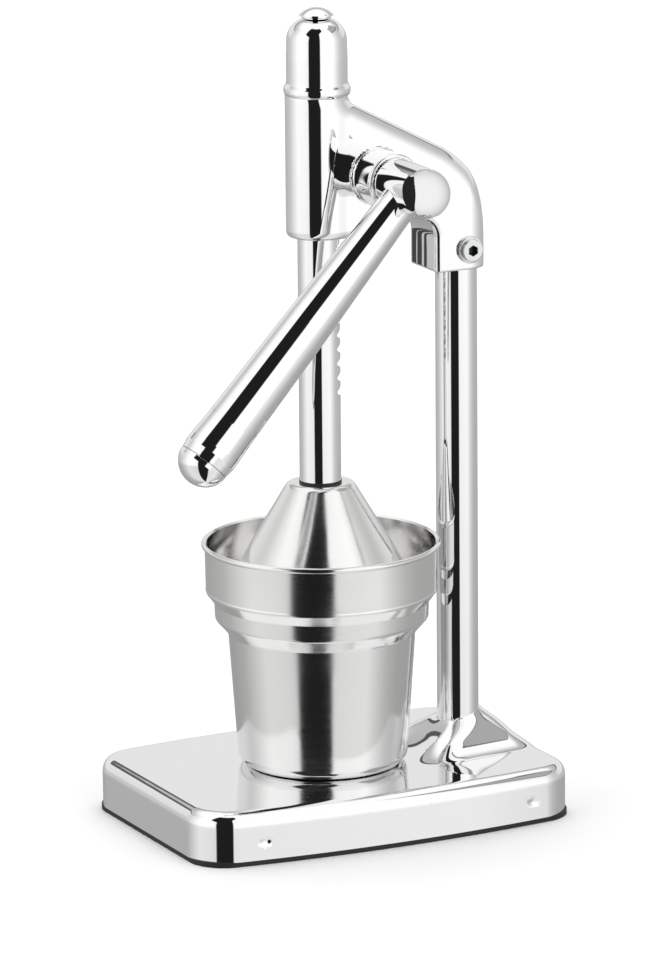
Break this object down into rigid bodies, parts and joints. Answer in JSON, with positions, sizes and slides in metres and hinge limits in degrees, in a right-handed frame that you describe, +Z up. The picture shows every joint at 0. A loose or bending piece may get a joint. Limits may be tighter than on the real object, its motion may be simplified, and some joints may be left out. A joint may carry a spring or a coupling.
{
  "type": "manual citrus press",
  "caption": "Lever citrus press: a geared lever lowers a steel cone onto half a fruit over a strainer and juice cup, on a heavy plated base with a column and cast head.",
  "frame": {"origin": "centre of the base's footprint, on the surface it stands on", "axes": "+Z up along the column and the rod; +X along the base's long side towards the column; +Y towards the back, so the lever is on the -Y side"},
  "size_m": [0.1819, 0.1338, 0.355],
  "materials": {
    "chrome_casting": "polished and chrome plated casting",
    "chrome_bar": "ground and chrome plated steel bar",
    "chrome_turned": "turned, polished and chrome plated",
    "satin_steel": "spun stainless steel, satin brushed round its axis",
    "zinc_screw": "bright zinc plated fastener",
    "fibre_washer": "black fibre washer",
    "rubber_mat": "matt black rubber"
  },
  "bodies": {
    "stand": {"base_casting": "chrome_casting", "base_mat": "rubber_mat", "mat_screws": "zinc_screw", "column": "chrome_bar", "column_bolt": "zinc_screw", "column_bolt_washer": "zinc_screw", "head_casting": "chrome_casting", "clamp_screw": "zinc_screw", "top_cap": "chrome_turned", "cap_finial": "chrome_turned"},
    "plunger": {"rack_rod": "chrome_bar", "press_cone": "satin_steel", "cone_washer": "fibre_washer", "cone_nut_washer": "zinc_screw", "cone_nut": "zinc_screw"},
    "crank": {"pinion_shaft": "chrome_bar", "pinion_washer": "zinc_screw", "pinion_screw": "zinc_screw", "handle_hub": "chrome_turned", "handle_lever": "chrome_turned", "handle_stud": "zinc_screw", "handle_end_cap": "chrome_turned"},
    "cup": {"juice_cup": "satin_steel"},
    "strainer": {"strainer": "satin_steel"}
  },
  "joints": [
    {"name": "handle_turn", "type": "hinge", "parent": "stand", "child": "crank", "pos_m": [0.0169, -0.03, 0.2824], "axis": [0, 1, 0], "range_deg": [0, 144]},
    {"name": "rack_slide", "type": "slide", "parent": "stand", "child": "plunger", "axis": [0, 0, 1], "range_m": [0, 0.0378]},
    {"name": "cup_turn", "type": "hinge", "parent": "stand", "child": "cup", "pos_m": [-0.005, 0, 0.03], "axis": [0, 0, 1], "continuous": true},
    {"name": "strainer_turn", "type": "hinge", "parent": "cup", "child": "strainer", "pos_m": [-0.005, 0, 0.1], "axis": [0, 0, 1], "continuous": true}
  ],
  "couplings": [
    {"joint": "rack_slide", "follows": "handle_turn", "m_per_rad": 0.015}
  ]
}
